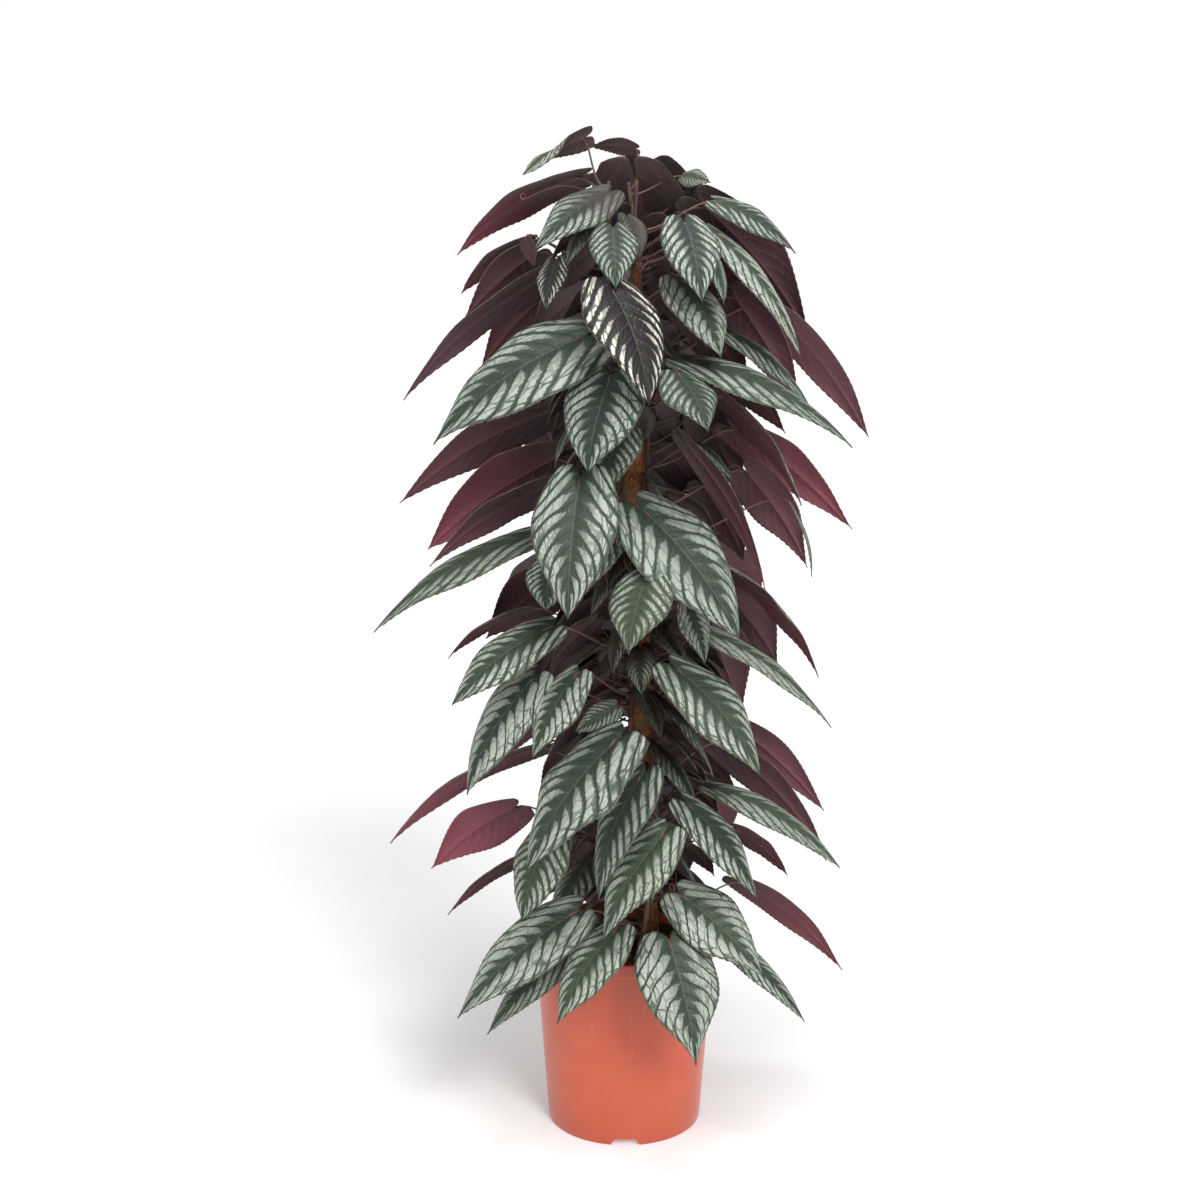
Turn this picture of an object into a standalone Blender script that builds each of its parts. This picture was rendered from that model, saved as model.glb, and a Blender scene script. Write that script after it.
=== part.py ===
"""Climbing vine (Cissus discolor) on a coir pole, in a plastic nursery pot.

Metres, +Z up. The origin is the middle of the pot's underside, on the surface the pot stands on.
-Y is the front. Every leaf is a blade and its stalk, grown as one piece, and ends at a vine stem.
"""
import math

import bmesh
import bpy
from mathutils import Matrix, Vector

GAP = 0.0003                    # clearance between pieces that touch

POT_HEIGHT = 0.180
POT_RIM_RADIUS = 0.0865         # outside of the rolled rim
POT_NECK_RADIUS = 0.0845        # outside of the wall, just under the rim
POT_FOOT_RADIUS = 0.0715
POT_WALL = 0.0015
POT_RIM_DEPTH = 0.012
POT_FLOOR = 0.010               # top of the base plate
POT_PLATE = 0.002
POT_BOSS_RADIUS = 0.020         # solid middle of the base, down to the ground
POT_STEPS = 48
NOTCH_HEIGHT = 0.0065           # drainage notches in the foot edge
NOTCH_TOP_WIDTH = 0.019
NOTCH_FOOT_WIDTH = 0.026
NOTCH_COUNT = 4
DRAIN_RADIUS = 0.006
DRAIN_RING_RADIUS = 0.045
DRAIN_COUNT = 8

SOIL_TOP = 0.164
SOIL_DROP = 0.002               # the soil sinks this much towards the wall

POLE_FOOT = Vector((0.027, 0.0, POT_FLOOR))
POLE_TOP = Vector((0.000, 0.0, 0.820))
SLEEVE_RADIUS = 0.0110
STAKE_RADIUS = 0.0060
STAKE_BARE_TOP = 0.008          # stake showing above the sleeve

STEM_COUNT = 3
STEM_RADIUS = 0.0028
STEM_TIP_RADIUS = 0.0018
STEM_ROOT_DEPTH = 0.014
STEM_ROOT_RADIUS = 0.030        # distance of a stem from the pole where it leaves the soil
STEM_MEETS_POLE = 0.260
STEM_TOP = 0.865
STEM_TURNS = 0.85
STEM_START_ANGLE = math.radians(250)
STEM_ROOT_POINTS = 10           # points between the soil and the pole
STEM_POLE_POINTS = 24           # points along the pole

BLADE_THICKNESS = 0.0012
BLADE_ARCH = 0.07               # rise of the midrib above the chord, as a share of the length
BLADE_FOLD = 0.16               # rise of each half from the midrib, as a share of the half width
BLADE_DROOP = 0.30              # fall of the margin, as a share of the half width
BLADE_LOBE = 0.13               # how far the heart-shaped base reaches back past the stalk
LOBE_GAP = 0.065                # the further the lobes reach back, the nearer they meet
LOBE_CURVE = 2.1                # roundness of the lobes' ends
BLADE_WIDEST = 0.28             # place of the greatest width along the blade
BLADE_ROUND = 0.34              # radius of the round base, in the same shares
TWIST_MIDDLE = 0.30             # place along the blade that a twist leaves as it is
BLADE_END = 0.97                # the tip is cut off here, so it keeps some width
BLADE_CELLS = (5, 4)            # faces along and across
STALK_RADIUS = 0.0012
STALK_POINTS = 6
STALK_INTO_BLADE = 0.05         # share of the blade's length that the stalk runs under
STALK_RISE = 0.30               # rise of a stalk, as a share of its reach from the pole
STALK_LEAVE = 0.35              # how far the stalk keeps square to the stem, of its span
STALK_ARRIVE = 0.30             # how far it keeps in line with the blade, of its span

# Leaves in centimetres, tier by tier: base of the blade, tip, width, the angle in degrees by
# which the upper face turns towards the front, and where they differ from the usual: the reach
# of the lobes as a share of the length, and the degrees of twist from base to tip.
LEAVES = {
    "crown": [
        ((-3.7, -0.4, 90.2), (-8.9, -2.9, 86.9), 3.6, -25, 0.13, 100),
        ((-4.3, 2.9, 87.1), (-15.4, 6.0, 80.6), 5.5, -18),
        ((-1.8, -3.0, 85.4), (-7.9, -6.5, 80.5), 5.0, 30),
        ((1.0, 3.4, 86.5), (2.5, 9.2, 76.2), 9.6, 0, 0.26),
        ((8.1, -0.8, 84.7), (14.8, -1.6, 80.5), 4.2, 30),
        ((7.0, 2.6, 84.5), (17.2, 7.5, 73.0), 6.6, -40),
        ((4.8, -6.5, 82.8), (6.1, -11.0, 76.3), 5.0, 5),
        ((-1.3, -9.5, 77.3), (1.7, -14.0, 68.1), 7.3, 0),
        ((7.9, -2.5, 81.8), (15.0, -5.5, 71.5), 4.6, 10),
    ],
    "upper": [
        ((12.7, 2.5, 75.7), (22.7, 6.5, 63.9), 4.6, -25),
        ((5.6, -5.0, 71.2), (19.3, -8.0, 64.4), 6.5, 15),
        ((-3.8, -6.0, 73.3), (-16.6, -8.5, 64.7), 9.2, 35),
        ((-1.5, -9.5, 70.0), (-3.5, -12.5, 62.5), 7.6, 5),
        ((-6.0, 2.0, 79.0), (-20.5, 5.0, 67.5), 4.8, -25),
        ((-7.0, 5.5, 66.2), (-21.2, 8.0, 57.4), 5.4, -45),
        ((-6.5, 3.5, 62.0), (-18.5, 6.5, 53.5), 7.5, -50),
        ((-8.0, -3.0, 56.0), (-22.5, -4.0, 47.5), 6.5, 15),
        ((-4.0, -10.0, 61.5), (-5.0, -14.5, 50.5), 7.4, 0),
        ((1.4, -8.0, 58.7), (9.7, -12.0, 48.5), 9.2, 25),
        ((8.5, -2.5, 68.0), (15.5, -3.0, 58.5), 5.5, -20),
        ((10.2, 3.0, 64.7), (21.4, 7.0, 55.4), 5.0, -40),
    ],
    "middle": [
        ((-6.0, 3.0, 51.5), (-13.0, 4.5, 45.0), 6.5, -50),
        ((-7.0, -6.5, 48.1), (-15.2, -9.0, 42.0), 5.8, 25),
        ((-8.4, -6.5, 43.5), (-14.3, -8.5, 33.9), 6.8, 20),
        ((7.5, -5.0, 47.5), (18.0, -7.5, 39.5), 4.2, 10),
        ((9.5, -1.0, 52.5), (18.0, 0.5, 42.5), 5.0, -10),
        ((4.4, -9.0, 45.0), (11.7, -12.0, 36.5), 7.0, 20),
    ],
    "lower": [
        ((-1.0, -11.5, 39.3), (-8.7, -15.0, 28.9), 9.6, 10),
        ((3.1, -11.5, 31.0), (-2.3, -15.0, 22.9), 6.0, 15),
        ((5.5, -8.0, 32.6), (11.5, -10.5, 24.8), 5.8, 10),
        ((8.4, -4.5, 33.1), (19.3, -7.0, 26.9), 4.6, 10),
        ((8.5, 2.0, 35.8), (19.6, 5.0, 23.7), 4.4, -45),
        ((9.6, 5.5, 36.8), (19.7, 10.0, 26.8), 4.2, -50),
        ((11.2, 1.5, 22.3), (21.0, 3.5, 12.8), 4.1, -40),
        ((-10.6, 3.5, 28.9), (-18.6, 6.0, 22.3), 6.2, -50),
        ((-8.2, 1.0, 35.5), (-22.4, 3.0, 26.1), 5.4, -25),
        ((-6.5, -7.0, 30.0), (-9.3, -9.0, 22.3), 6.2, 10),
    ],
    "skirt": [
        ((-4.8, -9.5, 23.1), (-14.9, -13.0, 15.2), 6.6, 25),
        ((-1.0, -12.0, 22.5), (-6.0, -15.5, 15.5), 5.6, 10),
        ((3.8, -12.5, 21.5), (5.9, -17.5, 12.6), 7.6, 0),
        ((8.7, -6.5, 19.6), (16.0, -9.0, 12.9), 3.2, 15),
    ],
    "back": [
        ((-1.0, 10.6, 76.8), (-5.5, 17.0, 67.5), 7.0, 0),
        ((6.0, 8.0, 72.0), (11.5, 16.0, 62.5), 7.5, 0),
        ((-5.5, 8.0, 69.0), (-9.0, 16.5, 60.0), 7.0, 0),
        ((1.5, 8.5, 62.5), (1.0, 17.5, 52.5), 8.0, 0),
        ((7.5, 8.0, 54.5), (13.5, 16.0, 46.0), 7.0, 0),
        ((-5.5, 8.0, 53.5), (-11.0, 16.5, 44.5), 7.5, 0),
        ((1.0, 8.5, 46.0), (2.0, 17.5, 36.0), 7.5, 0),
        ((-6.5, 7.5, 38.5), (-12.5, 15.5, 30.0), 7.0, 0),
        ((6.5, 7.5, 31.5), (11.0, 16.0, 22.0), 7.0, 0),
        ((-0.5, 9.0, 31.0), (-3.0, 17.0, 21.0), 7.5, 0),
    ],
}

for leftover in list(bpy.data.objects):
    bpy.data.objects.remove(leftover, do_unlink=True)

parts = bpy.data.collections.new("potted_rex_begonia_vine")
helpers = bpy.data.collections.new("cutters")
bpy.context.scene.collection.children.link(parts)
bpy.context.scene.collection.children.link(helpers)


def make_material(name, colour, roughness):
    """A Principled material; colour is linear RGB."""
    material = bpy.data.materials.new(name)
    material.use_nodes = True
    shader = material.node_tree.nodes["Principled BSDF"]
    shader.inputs["Base Color"].default_value = (*colour, 1.0)
    shader.inputs["Roughness"].default_value = roughness
    material.diffuse_color = (*colour, 1.0)
    return material


TERRACOTTA = make_material("terracotta_plastic", (0.60, 0.13, 0.07), 0.45)
EARTH = make_material("potting_soil", (0.030, 0.018, 0.012), 0.95)
WOOD = make_material("stake_wood", (0.38, 0.24, 0.12), 0.70)
COIR = make_material("coir_fibre", (0.22, 0.10, 0.04), 0.95)
BARK = make_material("vine_bark", (0.16, 0.06, 0.04), 0.65)
LEAF = make_material("leaf_green", (0.09, 0.14, 0.09), 0.45)


def make_object(name, data, material=None):
    """Link a new object as a part, or as a helper when it has no material."""
    obj = bpy.data.objects.new(name, data)
    if material is None:
        helpers.objects.link(obj)
        obj.hide_render = True
        obj.display_type = "WIRE"
    else:
        parts.objects.link(obj)
        data.materials.append(material)
    return obj


def turned(name, outline, material):
    """A solid of revolution about Z, from an outline that runs down the outside."""
    mesh = bpy.data.meshes.new(name)
    edges = [(i, i + 1) for i in range(len(outline) - 1)]
    mesh.from_pydata([(radius, 0.0, z) for radius, z in outline], edges, [])
    obj = make_object(name, mesh, material)
    screw = obj.modifiers.new("turn", "SCREW")
    screw.steps = screw.render_steps = POT_STEPS
    screw.use_merge_vertices = True
    screw.merge_threshold = 0.00001
    screw.use_smooth_shade = True
    return obj


def cylinder(name, radius, foot, top, sides, material=None):
    """A closed cylinder between two points."""
    axis = top - foot
    bm = bmesh.new()
    bmesh.ops.create_cone(bm, cap_ends=True, segments=sides, radius1=radius, radius2=radius,
                          depth=axis.length)
    mesh = bpy.data.meshes.new(name)
    bm.to_mesh(mesh)
    bm.free()
    obj = make_object(name, mesh, material)
    turn = axis.to_track_quat("Z", "Y").to_matrix().to_4x4()
    obj.matrix_world = Matrix.Translation((foot + top) / 2) @ turn
    return obj


def cut(target, cutter):
    """Take the cutter away from the target."""
    boolean = target.modifiers.new("cut " + cutter.name, "BOOLEAN")
    boolean.operation = "DIFFERENCE"
    boolean.solver = "EXACT"
    boolean.object = cutter


def tube(name, points, radii, sides_level, material=None):
    """A round tube along a polyline, with closed ends."""
    curve = bpy.data.curves.new(name, "CURVE")
    curve.dimensions = "3D"
    curve.bevel_depth = 1.0
    curve.bevel_resolution = sides_level
    curve.use_fill_caps = True
    spline = curve.splines.new("POLY")
    spline.points.add(len(points) - 1)
    for slot, point, radius in zip(spline.points, points, radii):
        slot.co = (*point, 1.0)
        slot.radius = radius
    return make_object(name, curve, material)


def as_mesh(curve_object):
    """Turn a tube into a mesh object with its end caps welded on."""
    evaluated = curve_object.evaluated_get(bpy.context.evaluated_depsgraph_get())
    mesh = bpy.data.meshes.new_from_object(evaluated)
    bm = bmesh.new()
    bm.from_mesh(mesh)
    bmesh.ops.remove_doubles(bm, verts=bm.verts, dist=0.00001)
    bm.to_mesh(mesh)
    bm.free()
    obj = make_object(curve_object.name + " mesh", mesh)
    obj.matrix_world = curve_object.matrix_world
    bpy.data.objects.remove(curve_object, do_unlink=True)
    return obj


def pole_point(z):
    """The middle of the leaning pole at a height."""
    return POLE_FOOT.lerp(POLE_TOP, (z - POLE_FOOT.z) / (POLE_TOP.z - POLE_FOOT.z))


def stem_point(index, z):
    """The middle of a vine stem at a height: upright in the soil, then winding up the pole."""
    turn = STEM_TURNS * (z - SOIL_TOP) / (STEM_TOP - SOIL_TOP)
    angle = STEM_START_ANGLE + 2 * math.pi * (index / STEM_COUNT + max(turn, 0.0))
    near = SLEEVE_RADIUS + STEM_RADIUS + 2 * GAP
    climb = min(max((z - SOIL_TOP) / (STEM_MEETS_POLE - SOIL_TOP), 0.0), 1.0)
    reach = STEM_ROOT_RADIUS + (near - STEM_ROOT_RADIUS) * climb * climb * (3 - 2 * climb)
    return pole_point(z) + reach * Vector((math.cos(angle), math.sin(angle), 0.0))


def stem_radius(z):
    """Stems thin out towards the top."""
    share = min(max(z / STEM_TOP, 0.0), 1.0)
    return STEM_RADIUS + (STEM_TIP_RADIUS - STEM_RADIUS) * share


def wall_radius(z):
    """Outside radius of the pot's wall at a height."""
    return POT_FOOT_RADIUS + (POT_NECK_RADIUS - POT_FOOT_RADIUS) * z / POT_HEIGHT


def make_pot():
    """Tapered pot with a thicker rim, a thin foot edge with notches, and drain holes."""
    rim_base = POT_HEIGHT - POT_RIM_DEPTH
    edge = 0.001
    outline = [
        (POT_RIM_RADIUS - 0.003, POT_HEIGHT),
        (POT_RIM_RADIUS - edge, POT_HEIGHT - edge / 2),
        (POT_RIM_RADIUS, POT_HEIGHT - 2 * edge),
        (POT_RIM_RADIUS, rim_base + edge),
        (POT_RIM_RADIUS - edge, rim_base),
        (wall_radius(rim_base), rim_base - edge),
        (wall_radius(3 * edge), 3 * edge),
        (POT_FOOT_RADIUS - edge, 0.0),
        (POT_FOOT_RADIUS - edge - POT_WALL, 0.0),
        (POT_FOOT_RADIUS - edge - POT_WALL, POT_FLOOR - POT_PLATE),
        (POT_BOSS_RADIUS + edge, POT_FLOOR - POT_PLATE),
        (POT_BOSS_RADIUS, 0.0),
        (0.0, 0.0),
    ]
    inside = [
        (0.0, POT_FLOOR),
        (wall_radius(POT_FLOOR) - POT_WALL - edge, POT_FLOOR),
        (wall_radius(POT_FLOOR) - POT_WALL, POT_FLOOR + edge),
        (wall_radius(rim_base) - POT_WALL, rim_base),
        (POT_RIM_RADIUS - 0.003 - edge, POT_HEIGHT - edge),
        (POT_RIM_RADIUS - 0.003, POT_HEIGHT),
    ]
    pot = turned("pot", outline + inside, TERRACOTTA)
    for index in range(NOTCH_COUNT):
        angle = -math.pi / 2 + index * 2 * math.pi / NOTCH_COUNT
        cut(pot, make_notch_cutter(index, angle))
    for index in range(DRAIN_COUNT):
        angle = (index + 0.5) * 2 * math.pi / DRAIN_COUNT
        middle = DRAIN_RING_RADIUS * Vector((math.cos(angle), math.sin(angle), 0.0))
        low = middle + Vector((0.0, 0.0, POT_FLOOR - 2 * POT_PLATE))
        high = middle + Vector((0.0, 0.0, POT_FLOOR + POT_PLATE))
        cut(pot, cylinder(f"drain cutter {index + 1}", DRAIN_RADIUS, low, high, 12))
    return pot


def make_notch_cutter(index, angle):
    """A trapezoid block that reaches through the foot edge at an angle round the pot."""
    bm = bmesh.new()
    bmesh.ops.create_cube(bm, size=1.0)
    for vert in bm.verts:
        below = vert.co.z < 0
        width = NOTCH_FOOT_WIDTH * 1.1 if below else NOTCH_TOP_WIDTH
        height = -0.1 * NOTCH_HEIGHT if below else NOTCH_HEIGHT
        reach = POT_FOOT_RADIUS + vert.co.x * 0.012
        vert.co = Vector((reach, vert.co.y * width, height))
    mesh = bpy.data.meshes.new(f"notch cutter {index + 1}")
    bm.to_mesh(mesh)
    bm.free()
    cutter = make_object(mesh.name, mesh)
    cutter.rotation_euler.z = angle
    return cutter


def make_soil():
    """Soil that fills the pot, open round the pole and round each stem's root."""
    side_top = SOIL_TOP - SOIL_DROP
    inset = POT_WALL + GAP
    floor = POT_FLOOR + GAP
    corner = 0.0015
    outline = [
        (0.0, SOIL_TOP),
        (0.6 * POT_RIM_RADIUS, SOIL_TOP - 0.25 * SOIL_DROP),
        (wall_radius(side_top) - inset, side_top),
        (wall_radius(floor + corner) - inset, floor + corner),
        (wall_radius(floor) - inset - corner, floor),
        (0.0, floor),
    ]
    soil = turned("soil", outline, EARTH)
    below = pole_point(POT_FLOOR - 0.02)
    above = pole_point(SOIL_TOP + 0.02)
    cut(soil, cylinder("pole hole cutter", SLEEVE_RADIUS + GAP, below, above, 24))
    for index in range(STEM_COUNT):
        foot = stem_root(index) - Vector((0.0, 0.0, GAP))
        top = foot + Vector((0.0, 0.0, 0.05))
        cut(soil, cylinder(f"root hole cutter {index + 1}", STEM_RADIUS + 2 * GAP, foot, top, 16))
    return soil


def stem_root(index):
    """The buried end of a stem."""
    spot = stem_point(index, SOIL_TOP)
    return Vector((spot.x, spot.y, SOIL_TOP - STEM_ROOT_DEPTH))


def make_pole():
    """A wooden stake inside a sleeve of coir, both standing on the pot's floor."""
    lift = 0.0004               # the lean lowers one side of the foot by this much
    axis = POLE_TOP - POLE_FOOT
    foot = POLE_FOOT + Vector((0.0, 0.0, GAP + lift))
    stake_top = POLE_TOP + axis.normalized() * STAKE_BARE_TOP
    cylinder("stake", STAKE_RADIUS, foot, stake_top, 16, WOOD)
    sleeve = cylinder("coir_sleeve", SLEEVE_RADIUS, foot, POLE_TOP, 24, COIR)
    below = foot - axis.normalized() * 0.01
    above = POLE_TOP + axis.normalized() * 0.01
    cut(sleeve, cylinder("sleeve bore cutter", STAKE_RADIUS + GAP, below, above, 16))


def make_stem(index):
    """One vine stem, from its root in the soil to the crown."""
    root = stem_root(index)
    points = [root, Vector((root.x, root.y, SOIL_TOP))]
    for step in range(1, STEM_ROOT_POINTS + 1):
        share = step / STEM_ROOT_POINTS
        points.append(stem_point(index, SOIL_TOP + (STEM_MEETS_POLE - SOIL_TOP) * share))
    for step in range(1, STEM_POLE_POINTS + 1):
        share = step / STEM_POLE_POINTS
        points.append(stem_point(index, STEM_MEETS_POLE + (STEM_TOP - STEM_MEETS_POLE) * share))
    radii = [stem_radius(point.z) for point in points]
    tube(f"vine_stem_{index + 1}", points, radii, 1, BARK)


class Blade:
    """The curved middle surface of a leaf; lengths in metres, angles in radians."""

    def __init__(self, base, tip, width, roll, lobe=BLADE_LOBE, twist=0.0):
        self.base = Vector(base) / 100
        self.width = width / 100
        self.roll = math.radians(roll)
        self.lobe = lobe
        self.twist = math.radians(twist)
        chord = Vector(tip) / 100 - self.base
        self.length = chord.length
        self.along = chord.normalized()
        self.up = (Vector((0.0, 0.0, 1.0)) - self.along.z * self.along).normalized()
        self.front = self.along.cross(self.up)
        if self.front.y > 0:
            self.front = -self.front

    def face(self, share):
        """The direction square to the blade, out of its upper side."""
        turn = self.roll + self.twist * (share - TWIST_MIDDLE)
        return math.cos(turn) * self.up + math.sin(turn) * self.front

    def point(self, share, side):
        """A point of the blade: share runs from base to tip, side from -1 to 1 across."""
        half = self.width / 2 * half_width(share)
        back = self.lobe * math.sin(LOBE_CURVE * abs(side) ** (LOBE_GAP / self.lobe))
        place = share - back * max(1 - share / BLADE_WIDEST, 0.0) ** 2
        rise = BLADE_ARCH * self.length * 4 * place * (1 - place)
        rise += half * (BLADE_FOLD * abs(side) - BLADE_DROOP * side * side)
        face = self.face(share)
        across = self.along.cross(face)
        return self.base + self.along * place * self.length + face * rise + across * half * side


def half_width(share):
    """Half width of a heart-shaped blade, 1 at its widest: round base, drawn-out tip."""
    if share < BLADE_WIDEST:
        return math.sqrt(1 - ((BLADE_WIDEST - share) / BLADE_ROUND) ** 2)
    return math.cos(math.pi / 2 * (share - BLADE_WIDEST) / (1 - BLADE_WIDEST))


def stalk_points(blade):
    """The stalk's path: square off the nearest stem, outwards, then under the blade."""
    base = blade.base
    face = blade.face(TWIST_MIDDLE)
    reach = (base.xy - pole_point(base.z).xy).length
    height = min(base.z - STALK_RISE * reach, STEM_TOP - 2 * STEM_RADIUS)
    centre = pole_point(height)
    outward = base.xy - centre.xy
    nearest = max(range(STEM_COUNT),
                  key=lambda index: (stem_point(index, height) - centre).xy.dot(outward))
    stem = stem_point(nearest, height)
    climb = (stem_point(nearest, height + 0.001) - stem).normalized()
    away = (base - stem - climb * (base - stem).dot(climb)).normalized()
    start = stem + away * (stem_radius(height) + 1.5 * GAP)
    end = blade.point(STALK_INTO_BLADE, 0.0) - face * BLADE_THICKNESS / 2
    span = (end - start).length
    leave = start + away * span * STALK_LEAVE
    arrive = end - (blade.along - 0.13 * face).normalized() * span * STALK_ARRIVE
    path = []
    for step in range(STALK_POINTS):
        t = step / (STALK_POINTS - 1)
        path.append((1 - t) ** 3 * start + 3 * (1 - t) ** 2 * t * leave
                    + 3 * (1 - t) * t * t * arrive + t ** 3 * end)
    return path


def make_leaf(name, blade):
    """A curved, folded blade of even thickness, joined to its stalk."""
    bm = bmesh.new()
    bmesh.ops.create_grid(bm, x_segments=BLADE_CELLS[0], y_segments=BLADE_CELLS[1], size=1.0)
    for vert in bm.verts:
        vert.co = blade.point((vert.co.x + 1) / 2 * BLADE_END, -vert.co.y)
    mesh = bpy.data.meshes.new(name)
    bm.to_mesh(mesh)
    bm.free()
    mesh.shade_smooth()
    leaf = make_object(name, mesh, LEAF)
    solidify = leaf.modifiers.new("thickness", "SOLIDIFY")
    solidify.thickness = BLADE_THICKNESS
    solidify.offset = -1.0
    stalk = tube(name + " stalk", stalk_points(blade), [STALK_RADIUS] * STALK_POINTS, 0)
    bpy.context.view_layer.update()
    join = leaf.modifiers.new("stalk", "BOOLEAN")
    join.operation = "UNION"
    join.solver = "EXACT"
    join.object = as_mesh(stalk)


make_pot()
make_soil()
make_pole()
for stem_index in range(STEM_COUNT):
    make_stem(stem_index)
for tier, leaves in LEAVES.items():
    for number, leaf_shape in enumerate(leaves, start=1):
        make_leaf(f"leaf_{tier}_{number}", Blade(*leaf_shape))
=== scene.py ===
"""Looks of a potted climbing vine (Cissus discolor): quilted two-coloured leaves, coir pole,
stems, soil and a terracotta-coloured nursery pot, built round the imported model.

Metres, +Z up, -Y is the front. The leaf table is in centimetres, as in the CAD source.
"""
import math
import random

import bmesh
import bpy
import numpy as np
from mathutils import Matrix, Vector
from mathutils.bvhtree import BVHTree


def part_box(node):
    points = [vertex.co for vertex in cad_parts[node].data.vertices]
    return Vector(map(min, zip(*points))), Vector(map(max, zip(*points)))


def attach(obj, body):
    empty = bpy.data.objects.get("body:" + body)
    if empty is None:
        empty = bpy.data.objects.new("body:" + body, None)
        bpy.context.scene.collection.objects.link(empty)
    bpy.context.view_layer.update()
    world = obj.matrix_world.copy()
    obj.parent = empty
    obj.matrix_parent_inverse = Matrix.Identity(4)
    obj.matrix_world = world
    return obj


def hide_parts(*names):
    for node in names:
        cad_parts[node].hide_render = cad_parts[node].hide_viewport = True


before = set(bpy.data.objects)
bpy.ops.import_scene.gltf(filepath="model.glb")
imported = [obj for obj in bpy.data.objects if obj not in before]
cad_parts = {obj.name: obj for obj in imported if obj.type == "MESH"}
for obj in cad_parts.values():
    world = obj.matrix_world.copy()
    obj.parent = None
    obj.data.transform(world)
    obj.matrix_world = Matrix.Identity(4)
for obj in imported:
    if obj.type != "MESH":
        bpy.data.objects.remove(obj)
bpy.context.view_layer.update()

# ---- sizes

TURN = 2 * math.pi

POT_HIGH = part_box("pot")[1]
POT_HEIGHT = POT_HIGH.z
POT_RIM_RADIUS = POT_HIGH.x
POT_NECK_RADIUS = POT_RIM_RADIUS - 0.0020
POT_FOOT_RADIUS = 0.0715
POT_WALL = 0.0015
POT_RIM_DEPTH = 0.012
POT_FLOOR = 0.010
POT_PLATE = 0.002
POT_BOSS_RADIUS = 0.020
NOTCH_HEIGHT = 0.0065
NOTCH_TOP_WIDTH = 0.019
NOTCH_FOOT_WIDTH = 0.026
NOTCH_COUNT = 4
DRAIN_RADIUS = 0.006
DRAIN_RING_RADIUS = 0.045
DRAIN_COUNT = 8

SOIL_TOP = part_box("soil")[1].z
SOIL_RIPPLES = 14
SOIL_CRUMBS = 260
POLE_FOOT = Vector((0.027, 0, POT_FLOOR))
POLE_TOP = Vector((0, 0, 0.820))
SLEEVE_RADIUS = 0.0110
SLEEVE_STRANDS = 900

STEM_COUNT = 3
STEM_RADIUS = 0.0028
STEM_TIP_RADIUS = 0.0018
STEM_ROOT_DEPTH = 0.014
STEM_ROOT_RADIUS = 0.030
STEM_MEETS_POLE = 0.260
STEM_TOP = 0.865
STEM_TURNS = 0.85
STEM_JOINT_SPACING = 0.043
STEM_START_ANGLE = math.radians(250)
TOUCH = 0.0006  # stems lie this far off the coir

TENDRIL_COUNT = 22
TENDRIL_POINTS = 40
TENDRIL_RADIUS = 0.00055

FLOOR_REACH = 40.0
WHITE = (255, 255, 255)
WORLD_LIGHT = 0.55  # how strongly the surroundings light the plant
WHITE_SEEN = 1.02  # how bright they look in the picture

BLADE_THICKNESS = 0.00045
TIP_HALF_WIDTH = 0.0004
MIDRIB_HEIGHT = 0.0011
TOOTH_OUT = 0.0007
TOOTH_DOWN = 0.0004
QUILT_RISE = 0.0125  # per metre of blade width
BLADE_ARCH = 0.07
BLADE_FOLD = 0.16
BLADE_DROOP = 0.30
BLADE_LOBE = 0.13
LOBE_GAP = 0.065  # the further the lobes reach back, the nearer they meet
BLADE_WIDEST = 0.28
BLADE_ROUND = 0.34
BLADE_CELLS = (52, 24)
VEIN_PAIRS = 9.0
VEIN_SLANT = 0.15
VEIN_CURVE = 0.14
VEIN_OFFSET = 0.30  # one half's veins leave the midrib this part of a step nearer the base
STALK_RISE = 0.30
STALK_LEAVE = 0.35
STALK_ARRIVE = 0.30
STALK_SUNK = 0.0004  # how deep it starts in the stem
STALK_UNDER = 0.0014  # and how far under the blade it ends
STALK_POINTS = 14

# ---- leaf tables

# What the leaf materials vary from leaf to leaf, each from 0 to 1: how bright and how broad the
# silver panels are (silver also sets how bright the painted backlight on the underside is),
# how yellow the green is, and how plum-coloured the middle is. Where no number is given here,
# plum is 0 and the others are drawn at random.
LOOKS = ("silver", "spread", "olive", "plum")
SPECIAL_LOOKS = {
    "leaf_crown_2": (1, None, 0),
    "leaf_crown_8": (1, 0, 0.6, 1),
    "leaf_crown_9": (0.8, None, 0.7),
    "leaf_upper_3": (0.5, 0.5, 0.2),
    "leaf_upper_4": (0.5, 0.5, 0),
    "leaf_upper_5": (0.2, None, 1),
    "leaf_upper_7": (1, None, 0.2),
    "leaf_upper_9": (0.6, 0.5, 0.4),
    "leaf_upper_10": (0.3, 0.6, 0.4),
    "leaf_lower_1": (0.6, 0.5, 0.3),
    "leaf_lower_2": (0.5, 0.5, 0.9),
    "leaf_lower_7": (0.3, None, 0.1),
    "leaf_lower_8": (1, None, 0.1),
    "leaf_lower_9": (0.6, None, 0.2),
    "leaf_skirt_1": (0.5, 0.9, 0.5),
    "leaf_skirt_2": (0.6, 0.5, 0.9),
    "leaf_skirt_3": (0.5, 0.9, 0.5),
    "leaf_small_upper_4": (0, 0, 0.3, 0.8),
    "leaf_small_middle_1": (0.4, 0, 1),
    "leaf_small_upper_2": (0.2, 0, 0.6),
    "leaf_small_lower_1": (0.4, 0.2, 0.4),
    "leaf_small_middle_6": (0.6, 0.2, 1),
}

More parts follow.
